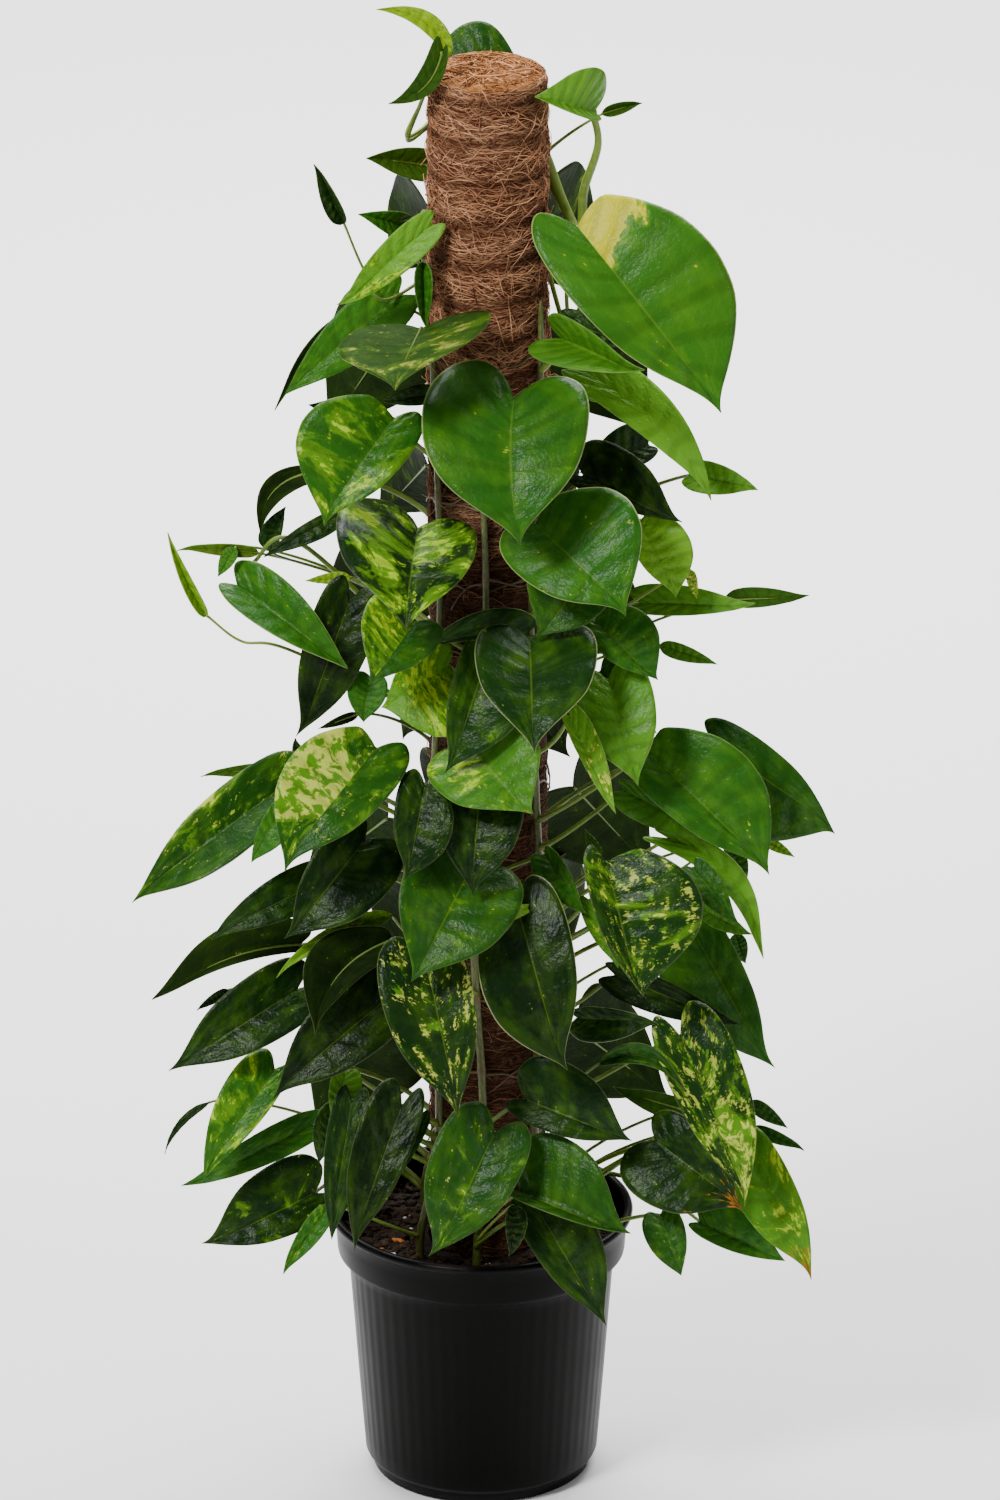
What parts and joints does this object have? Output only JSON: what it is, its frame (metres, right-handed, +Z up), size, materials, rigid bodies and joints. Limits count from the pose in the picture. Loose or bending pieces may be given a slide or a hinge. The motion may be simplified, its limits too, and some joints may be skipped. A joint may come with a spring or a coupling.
{
  "type": "potted climbing house plant",
  "caption": "Potted golden pothos climbing a coir pole, with heart-shaped variegated leaves hanging all round it.",
  "frame": {"origin": "middle of the flat base of the pot", "axes": "+Z up along the pole, the picture looks along +Y, +X to its right"},
  "size_m": [0.4832, 0.3218, 1.0779],
  "materials": {
    "pot_plastic": "satin black",
    "potting_soil": "dark crumbly potting mix",
    "stake_wood": "plain",
    "coir": "matted brown coir fibre",
    "leaf": "glossy green with yellow and cream patches, green stems"
  },
  "bodies": {
    "root": {"pot": "pot_plastic", "soil": "potting_soil", "pole_stake": "stake_wood", "coir_pole": "coir", "vine_front": "leaf", "vine_front_left": "leaf", "vine_front_right": "leaf", "vine_left": "leaf", "vine_right": "leaf", "vine_back": "leaf"}
  },
  "joints": []
}
